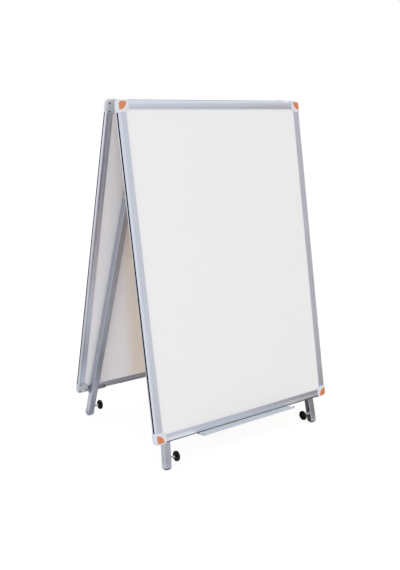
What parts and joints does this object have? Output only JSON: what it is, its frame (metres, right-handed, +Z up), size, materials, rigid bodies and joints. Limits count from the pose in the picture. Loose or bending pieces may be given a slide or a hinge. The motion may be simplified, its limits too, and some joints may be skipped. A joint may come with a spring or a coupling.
{
  "type": "double-sided folding whiteboard easel",
  "caption": "Floor easel of framed magnetic whiteboards hinged back to back, with telescopic square legs, clamp knobs and pen trays.",
  "frame": {"origin": "on the floor, midway between the feet and the two boards", "axes": "+Z up, +X along the boards' width to the right as seen from the front board, front board faces -Y"},
  "size_m": [0.7036, 0.558, 1.0703],
  "materials": {
    "frame_aluminium": "satin anodised extrusion with fine lines along it",
    "leg_tube": "satin grey square tube",
    "inner_tube": "brushed square tube",
    "corner_plastic": "fine moulded grain, pale blue-grey",
    "orange_plastic": "smooth orange",
    "dark_screw": "blackened",
    "bracket_plastic": "grey moulded nylon",
    "bright_steel": "zinc plated",
    "black_plastic": "fine grain",
    "writing_enamel": "smooth white enamel, slight gloss",
    "core_board": "fibreboard",
    "backing_sheet": "off-white coated foil",
    "tray_aluminium": "pale blue-grey powder coat, low ribs across",
    "grey_plastic": "fine grain",
    "foot_rubber": "moulded"
  },
  "bodies": {
    "front_board": {"front_top_rail": "frame_aluminium", "front_bottom_rail": "frame_aluminium", "front_left_stile": "frame_aluminium", "front_right_stile": "frame_aluminium", "front_left_leg_tube": "leg_tube", "front_right_leg_tube": "leg_tube", "front_corner_caps": "corner_plastic", "front_corner_inserts": "orange_plastic", "front_corner_screws": "dark_screw", "front_top_brackets": "bracket_plastic", "front_lower_saddles": "bracket_plastic", "front_bracket_screws": "dark_screw", "front_leg_rivets": "bright_steel", "front_clamp_bosses": "bright_steel", "front_tube_plugs": "black_plastic", "front_writing_sheet": "writing_enamel", "front_core_panel": "core_board", "front_back_sheet": "backing_sheet", "hinge_pins": "bright_steel"},
    "rear_board": {"rear_top_rail": "frame_aluminium", "rear_bottom_rail": "frame_aluminium", "rear_left_stile": "frame_aluminium", "rear_right_stile": "frame_aluminium", "rear_left_leg_tube": "leg_tube", "rear_right_leg_tube": "leg_tube", "rear_corner_caps": "corner_plastic", "rear_corner_inserts": "orange_plastic", "rear_corner_screws": "dark_screw", "rear_top_brackets": "bracket_plastic", "rear_lower_saddles": "bracket_plastic", "rear_bracket_screws": "dark_screw", "rear_leg_rivets": "bright_steel", "rear_clamp_bosses": "bright_steel", "rear_tube_plugs": "black_plastic", "rear_writing_sheet": "writing_enamel", "rear_core_panel": "core_board", "rear_back_sheet": "backing_sheet"},
    "front_tray": {"front_pen_tray": "tray_aluminium", "front_tray_end_caps": "grey_plastic"},
    "front_left_leg": {"front_left_inner_tube": "inner_tube", "front_left_foot": "foot_rubber"},
    "front_left_knob": {"front_left_knob_grip": "black_plastic", "front_left_knob_stud": "bright_steel"},
    "front_right_leg": {"front_right_inner_tube": "inner_tube", "front_right_foot": "foot_rubber"},
    "front_right_knob": {"front_right_knob_grip": "black_plastic", "front_right_knob_stud": "bright_steel"},
    "rear_tray": {"rear_pen_tray": "tray_aluminium", "rear_tray_end_caps": "grey_plastic"},
    "rear_right_leg": {"rear_right_inner_tube": "inner_tube", "rear_right_foot": "foot_rubber"},
    "rear_right_knob": {"rear_right_knob_grip": "black_plastic", "rear_right_knob_stud": "bright_steel"},
    "rear_left_leg": {"rear_left_inner_tube": "inner_tube", "rear_left_foot": "foot_rubber"},
    "rear_left_knob": {"rear_left_knob_grip": "black_plastic", "rear_left_knob_stud": "bright_steel"}
  },
  "joints": [
    {"name": "fold", "type": "hinge", "parent": "front_board", "child": "rear_board", "pos_m": [0, 0, 1.00376], "axis": [1, 0, 0], "range_deg": [-25, 0]},
    {"name": "front_tray_slide", "type": "slide", "parent": "front_board", "child": "front_tray", "axis": [1, 0, 0], "range_m": [-0.1, 0.1]},
    {"name": "front_left_leg_slide", "type": "slide", "parent": "front_board", "child": "front_left_leg", "axis": [-0.0654, -0.216, -0.9742], "range_m": [0, 0.4]},
    {"name": "front_left_knob_turn", "type": "hinge", "parent": "front_board", "child": "front_left_knob", "pos_m": [-0.30165, -0.23226, 0.03235], "axis": [0.9979, -0.0142, -0.0639], "range_deg": [0, 360]},
    {"name": "front_right_leg_slide", "type": "slide", "parent": "front_board", "child": "front_right_leg", "axis": [0.0654, -0.216, -0.9742], "range_m": [0, 0.4]},
    {"name": "front_right_knob_turn", "type": "hinge", "parent": "front_board", "child": "front_right_knob", "pos_m": [0.30165, -0.23226, 0.03235], "axis": [-0.9979, -0.0142, -0.0639], "range_deg": [0, 360]},
    {"name": "rear_tray_slide", "type": "slide", "parent": "rear_board", "child": "rear_tray", "axis": [1, 0, 0], "range_m": [-0.1, 0.1]},
    {"name": "rear_right_leg_slide", "type": "slide", "parent": "rear_board", "child": "rear_right_leg", "axis": [0.0654, 0.216, -0.9742], "range_m": [0, 0.4]},
    {"name": "rear_right_knob_turn", "type": "hinge", "parent": "rear_board", "child": "rear_right_knob", "pos_m": [0.30165, 0.23226, 0.03235], "axis": [-0.9979, 0.0142, -0.0639], "range_deg": [0, 360]},
    {"name": "rear_left_leg_slide", "type": "slide", "parent": "rear_board", "child": "rear_left_leg", "axis": [-0.0654, 0.216, -0.9742], "range_m": [0, 0.4]},
    {"name": "rear_left_knob_turn", "type": "hinge", "parent": "rear_board", "child": "rear_left_knob", "pos_m": [-0.30165, 0.23226, 0.03235], "axis": [0.9979, 0.0142, -0.0639], "range_deg": [0, 360]}
  ]
}
